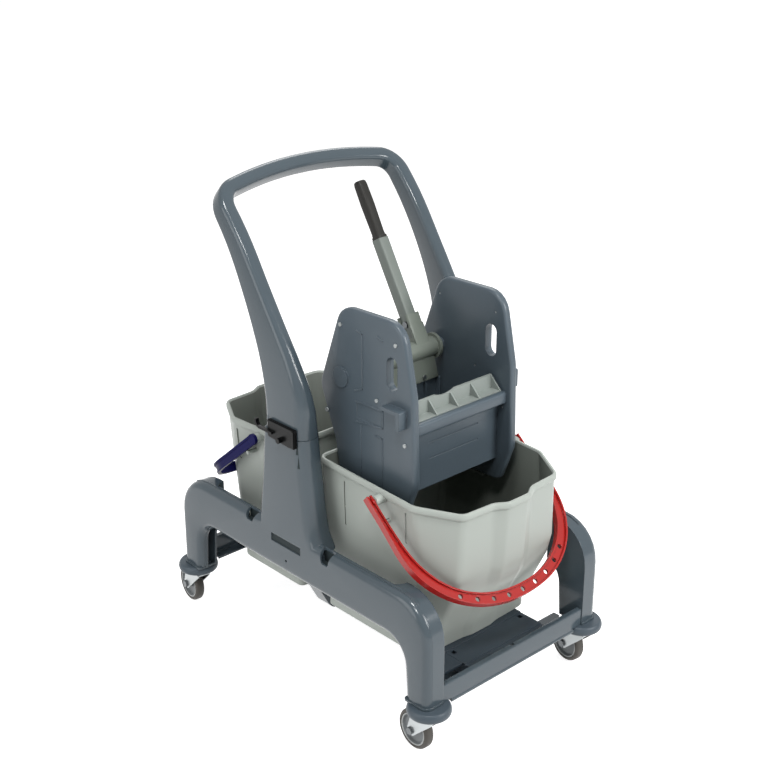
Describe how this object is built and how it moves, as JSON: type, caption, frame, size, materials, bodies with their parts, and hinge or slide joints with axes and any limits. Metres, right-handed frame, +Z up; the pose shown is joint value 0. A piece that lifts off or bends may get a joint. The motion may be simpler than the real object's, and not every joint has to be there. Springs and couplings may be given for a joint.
{
  "type": "double mop bucket trolley",
  "caption": "Double mop bucket trolley with a jaw wringer over the front bucket, swinging bails and a U-shaped push handle on swivel casters.",
  "frame": {"origin": "on the floor, midway between the casters", "axes": "+X towards the bucket under the wringer, +Z up, -Y the side with the longer view in the picture"},
  "size_m": [0.7638, 0.4696, 0.9108],
  "materials": {
    "frame": "semi-gloss moulded",
    "bucket": "satin moulded",
    "red_bail": "gloss moulded",
    "blue_bail": "gloss moulded",
    "jaw": "satin moulded",
    "zinc": "bright zinc",
    "tube": "satin",
    "grip": "matt",
    "clip": "satin",
    "tyre": "matt",
    "wheel_hub": "satin",
    "bumper": "satin",
    "white_screw": "gloss"
  },
  "bodies": {
    "chassis": {"side_frame_near": "frame", "side_frame_far": "frame", "front_bar": "frame", "rear_bar": "frame", "base_plate": "frame", "centre_yoke": "frame", "push_handle": "frame", "handle_screws": "zinc", "tool_clip_near": "clip", "tool_clip_far": "clip", "bumpers": "bumper", "caster_stems": "zinc"},
    "front_bucket": {"front_bucket": "bucket"},
    "front_bail": {"front_bail": "red_bail"},
    "rear_bucket": {"rear_bucket": "bucket"},
    "rear_bail": {"rear_bail": "blue_bail"},
    "wringer": {"panel_near_outer": "frame", "panel_near_inner": "frame", "panel_far_inner": "frame", "panel_far_outer": "frame", "panel_screws": "white_screw", "wringer_front": "frame", "wringer_rear": "frame", "drain_grid": "jaw", "fixed_jaw": "jaw", "wringer_shaft": "zinc"},
    "lever": {"lever_hub": "jaw", "lever_tube": "tube", "lever_bolt": "zinc", "lever_grip": "grip", "moving_jaw": "frame", "jaw_screws": "zinc"},
    "swivel_front_near": {"fork_front_near": "zinc", "axle_front_near": "zinc"},
    "wheel_front_near": {"hub_front_near": "wheel_hub", "tyre_front_near": "tyre"},
    "swivel_front_far": {"fork_front_far": "zinc", "axle_front_far": "zinc"},
    "wheel_front_far": {"hub_front_far": "wheel_hub", "tyre_front_far": "tyre"},
    "swivel_rear_near": {"fork_rear_near": "zinc", "axle_rear_near": "zinc"},
    "wheel_rear_near": {"hub_rear_near": "wheel_hub", "tyre_rear_near": "tyre"},
    "swivel_rear_far": {"fork_rear_far": "zinc", "axle_rear_far": "zinc"},
    "wheel_rear_far": {"hub_rear_far": "wheel_hub", "tyre_rear_far": "tyre"}
  },
  "joints": [
    {"name": "swivel_front_near", "type": "hinge", "parent": "chassis", "child": "swivel_front_near", "pos_m": [0.328, -0.196, 0.077], "axis": [0, 0, 1], "continuous": true},
    {"name": "roll_front_near", "type": "hinge", "parent": "swivel_front_near", "child": "wheel_front_near", "pos_m": [0.29604, -0.19432, 0.037], "axis": [0.0523, 0.9986, 0], "continuous": true},
    {"name": "swivel_front_far", "type": "hinge", "parent": "chassis", "child": "swivel_front_far", "pos_m": [0.328, 0.196, 0.077], "axis": [0, 0, 1], "continuous": true},
    {"name": "roll_front_far", "type": "hinge", "parent": "swivel_front_far", "child": "wheel_front_far", "pos_m": [0.29631, 0.20045, 0.037], "axis": [0.1392, 0.9903, 0], "continuous": true},
    {"name": "swivel_rear_near", "type": "hinge", "parent": "chassis", "child": "swivel_rear_near", "pos_m": [-0.328, -0.196, 0.077], "axis": [0, 0, 1], "continuous": true},
    {"name": "roll_rear_near", "type": "hinge", "parent": "swivel_rear_near", "child": "wheel_rear_near", "pos_m": [-0.35969, -0.19155, 0.037], "axis": [0.1392, 0.9903, 0], "continuous": true},
    {"name": "swivel_rear_far", "type": "hinge", "parent": "chassis", "child": "swivel_rear_far", "pos_m": [-0.328, 0.196, 0.077], "axis": [0, 0, 1], "continuous": true},
    {"name": "roll_rear_far", "type": "hinge", "parent": "swivel_rear_far", "child": "wheel_rear_far", "pos_m": [-0.35988, 0.19879, 0.037], "axis": [0.0872, 0.9962, 0], "continuous": true},
    {"name": "front_bucket_lift", "type": "slide", "parent": "chassis", "child": "front_bucket", "axis": [0, 0, 1], "range_m": [0, 0.3]},
    {"name": "wringer_lift", "type": "slide", "parent": "front_bucket", "child": "wringer", "axis": [0, 0, 1], "range_m": [0, 0.15]},
    {"name": "lever_pull", "type": "hinge", "parent": "wringer", "child": "lever", "pos_m": [0.032, 0, 0.586], "axis": [0, -1, 0], "range_deg": [0, 40]},
    {"name": "front_bail_swing", "type": "hinge", "parent": "front_bucket", "child": "front_bail", "pos_m": [0.17, 0, 0.416], "axis": [0, -1, 0], "range_deg": [0, 85]},
    {"name": "rear_bucket_lift", "type": "slide", "parent": "chassis", "child": "rear_bucket", "axis": [0, 0, 1], "range_m": [0, 0.16]},
    {"name": "rear_bail_swing", "type": "hinge", "parent": "rear_bucket", "child": "rear_bail", "pos_m": [-0.162, 0, 0.416], "axis": [0, 1, 0], "range_deg": [0, 130]}
  ]
}
